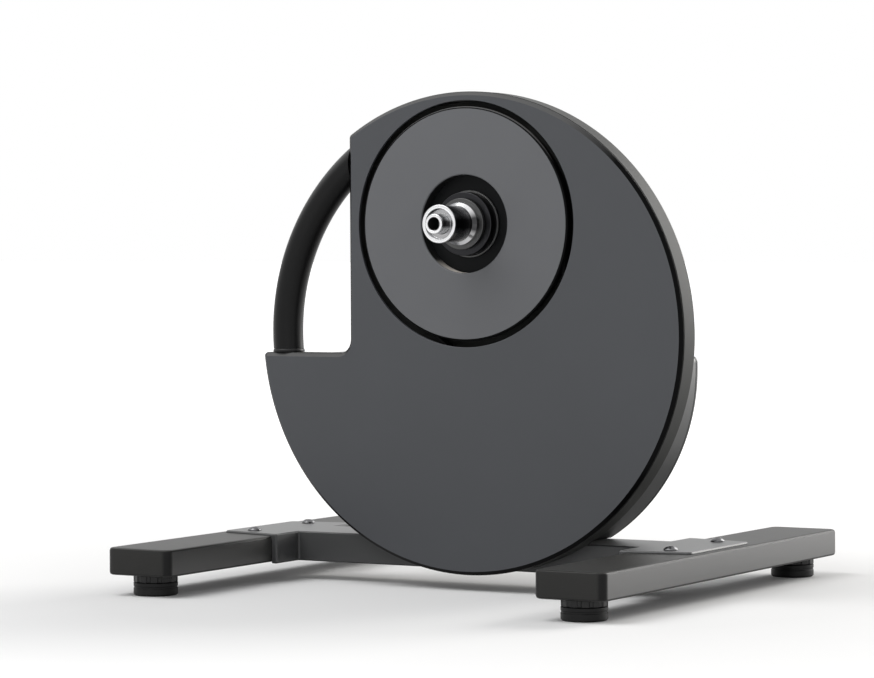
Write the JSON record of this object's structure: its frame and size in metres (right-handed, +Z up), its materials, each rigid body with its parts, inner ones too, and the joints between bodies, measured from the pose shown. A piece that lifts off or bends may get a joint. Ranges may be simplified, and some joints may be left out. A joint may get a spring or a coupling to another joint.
{
  "type": "bike trainer",
  "caption": "Wheel-off indoor bicycle trainer: round belt-drive casing with hub and carrying handle on a wide base of a beam and two bars with levelling feet.",
  "frame": {"origin": "on the floor, in the middle of the base", "axes": "+X along the beam towards the bicycle's rear, +Y along the axle towards the drive side, +Z up"},
  "size_m": [0.5224, 0.496, 0.4686],
  "materials": {
    "axle_bearing_left": "machined steel",
    "axle_bearing_right": "machined steel",
    "axle_tube": "machined steel",
    "bar_bolt_1": "machined steel",
    "bar_bolt_2": "machined steel",
    "bar_bolt_3": "machined steel",
    "bar_bolt_4": "machined steel",
    "base_beam": "satin dark grey powder coat over cast aluminium",
    "brake_stator": "laminated poles with copper windings",
    "case_bolt_1": "machined steel",
    "case_bolt_2": "machined steel",
    "case_bolt_3": "machined steel",
    "circuit_board": "green solder mask",
    "drive_belt": "ribbed rubber",
    "drive_pulley": "machined",
    "flywheel": "machined steel",
    "flywheel_shaft": "machined steel",
    "foot_bush_1": "machined steel",
    "foot_bush_2": "machined steel",
    "foot_bush_3": "machined steel",
    "foot_bush_4": "machined steel",
    "foot_pad_1": "matt black rubber",
    "foot_pad_2": "matt black rubber",
    "foot_pad_3": "matt black rubber",
    "foot_pad_4": "matt black rubber",
    "foot_wheel_1": "black moulding",
    "foot_wheel_2": "black moulding",
    "foot_wheel_3": "black moulding",
    "foot_wheel_4": "black moulding",
    "frame_bearing_left": "machined steel",
    "frame_bearing_right": "machined steel",
    "freehub_bearing": "machined steel",
    "freehub_body": "machined, splined",
    "front_bar": "satin dark grey powder coat over cast aluminium",
    "front_cover": "satin dark grey moulding",
    "handle_plug_lower": "black moulding",
    "handle_plug_upper": "black moulding",
    "handle_tube": "glossy satin black",
    "hub_shell": "black satin",
    "idler_arm": "machined steel",
    "idler_bolt": "machined steel",
    "idler_pulley": "black moulding",
    "left_end_cap": "polished",
    "left_seal_cap": "black satin",
    "main_frame": "dark coated cast aluminium",
    "power_socket": "black moulding",
    "pulley_disc": "satin grey coated disc",
    "rear_bar": "satin dark grey powder coat over cast aluminium",
    "rear_cover": "satin dark grey powder coat over cast aluminium",
    "rear_housing": "satin dark grey powder coat over cast aluminium",
    "right_end_cap": "polished",
    "shaft_bearing_far": "machined steel",
    "shaft_bearing_near": "machined steel",
    "small_pulley": "machined",
    "speed_sensor": "black moulding",
    "status_lens": "clear moulding"
  },
  "bodies": {
    "base": {"axle_bearing_left": "axle_bearing_left", "axle_bearing_right": "axle_bearing_right", "axle_tube": "axle_tube", "bar_bolt_1": "bar_bolt_1", "bar_bolt_2": "bar_bolt_2", "bar_bolt_3": "bar_bolt_3", "bar_bolt_4": "bar_bolt_4", "base_beam": "base_beam", "brake_stator": "brake_stator", "case_bolt_1": "case_bolt_1", "case_bolt_2": "case_bolt_2", "case_bolt_3": "case_bolt_3", "circuit_board": "circuit_board", "drive_belt": "drive_belt", "foot_bush_1": "foot_bush_1", "foot_bush_2": "foot_bush_2", "foot_bush_3": "foot_bush_3", "foot_bush_4": "foot_bush_4", "frame_bearing_left": "frame_bearing_left", "frame_bearing_right": "frame_bearing_right", "freehub_bearing": "freehub_bearing", "front_bar": "front_bar", "front_cover": "front_cover", "handle_plug_lower": "handle_plug_lower", "handle_plug_upper": "handle_plug_upper", "handle_tube": "handle_tube", "idler_arm": "idler_arm", "idler_bolt": "idler_bolt", "left_end_cap": "left_end_cap", "left_seal_cap": "left_seal_cap", "main_frame": "main_frame", "power_socket": "power_socket", "rear_bar": "rear_bar", "rear_cover": "rear_cover", "rear_housing": "rear_housing", "right_end_cap": "right_end_cap", "shaft_bearing_far": "shaft_bearing_far", "shaft_bearing_near": "shaft_bearing_near", "speed_sensor": "speed_sensor", "status_lens": "status_lens"},
    "hub": {"hub_shell": "hub_shell", "drive_pulley": "drive_pulley", "pulley_disc": "pulley_disc"},
    "freehub": {"freehub_body": "freehub_body"},
    "flywheel_rotor": {"flywheel": "flywheel", "flywheel_shaft": "flywheel_shaft", "small_pulley": "small_pulley"},
    "idler": {"idler_pulley": "idler_pulley"},
    "pad_1": {"foot_pad_1": "foot_pad_1"},
    "wheel_1": {"foot_wheel_1": "foot_wheel_1"},
    "pad_2": {"foot_pad_2": "foot_pad_2"},
    "wheel_2": {"foot_wheel_2": "foot_wheel_2"},
    "pad_3": {"foot_pad_3": "foot_pad_3"},
    "wheel_3": {"foot_wheel_3": "foot_wheel_3"},
    "pad_4": {"foot_pad_4": "foot_pad_4"},
    "wheel_4": {"foot_wheel_4": "foot_wheel_4"}
  },
  "joints": [
    {"name": "flywheel_spin", "type": "hinge", "parent": "base", "child": "flywheel_rotor", "pos_m": [0.09215, 0, 0.125], "axis": [0, 1, 0], "continuous": true},
    {"name": "hub_spin", "type": "hinge", "parent": "base", "child": "hub", "pos_m": [0.01715, 0, 0.345], "axis": [0, 1, 0], "continuous": true},
    {"name": "freehub_spin", "type": "hinge", "parent": "hub", "child": "freehub", "pos_m": [0.01715, 0, 0.345], "axis": [0, 1, 0], "continuous": true},
    {"name": "idler_spin", "type": "hinge", "parent": "base", "child": "idler", "pos_m": [0.012, 0, 0.19], "axis": [0, 1, 0], "continuous": true},
    {"name": "foot_1_turn", "type": "hinge", "parent": "pad_1", "child": "wheel_1", "pos_m": [-0.22625, -0.2175, 0], "axis": [0, 0, 1], "range_deg": [-2880.1, 0]},
    {"name": "foot_1_lower", "type": "slide", "parent": "base", "child": "pad_1", "axis": [0, 0, 1], "range_m": [-0.012, 0]},
    {"name": "foot_2_turn", "type": "hinge", "parent": "pad_2", "child": "wheel_2", "pos_m": [-0.22625, 0.2175, 0], "axis": [0, 0, 1], "range_deg": [-2880.1, 0]},
    {"name": "foot_2_lower", "type": "slide", "parent": "base", "child": "pad_2", "axis": [0, 0, 1], "range_m": [-0.012, 0]},
    {"name": "foot_3_turn", "type": "hinge", "parent": "pad_3", "child": "wheel_3", "pos_m": [0.22625, -0.2175, 0], "axis": [0, 0, 1], "range_deg": [-2880.1, 0]},
    {"name": "foot_3_lower", "type": "slide", "parent": "base", "child": "pad_3", "axis": [0, 0, 1], "range_m": [-0.012, 0]},
    {"name": "foot_4_turn", "type": "hinge", "parent": "pad_4", "child": "wheel_4", "pos_m": [0.22625, 0.2175, 0], "axis": [0, 0, 1], "range_deg": [-2880.1, 0]},
    {"name": "foot_4_lower", "type": "slide", "parent": "base", "child": "pad_4", "axis": [0, 0, 1], "range_m": [-0.012, 0]}
  ],
  "couplings": [
    {"joint": "hub_spin", "follows": "flywheel_spin", "ratio": 0.1667},
    {"joint": "idler_spin", "follows": "flywheel_spin", "ratio": -0.9444},
    {"joint": "foot_1_turn", "follows": "foot_1_lower", "rad_per_m": 4188.8},
    {"joint": "foot_2_turn", "follows": "foot_2_lower", "rad_per_m": 4188.8},
    {"joint": "foot_3_turn", "follows": "foot_3_lower", "rad_per_m": 4188.8},
    {"joint": "foot_4_turn", "follows": "foot_4_lower", "rad_per_m": 4188.8}
  ]
}
